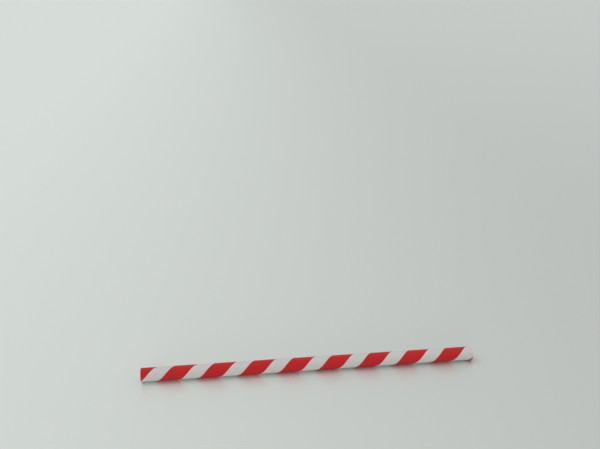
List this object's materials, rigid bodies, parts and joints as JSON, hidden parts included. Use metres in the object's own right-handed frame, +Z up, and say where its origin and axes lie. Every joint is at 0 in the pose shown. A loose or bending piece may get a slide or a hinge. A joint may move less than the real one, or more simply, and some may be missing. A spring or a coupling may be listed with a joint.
{
  "type": "paper drinking straw",
  "caption": "Straight paper drinking straw: a spiral-wound tube with a red and white striped print, open through its whole length and cut square at both ends.",
  "frame": {"origin": "on the surface that the straw lies on, under the middle of its length", "axes": "+X along the straw, +Z up"},
  "size_m": [0.197, 0.008, 0.0079],
  "materials": {
    "printed_paper": "matte"
  },
  "bodies": {
    "root": {"straw_tube": "printed_paper"}
  },
  "joints": []
}
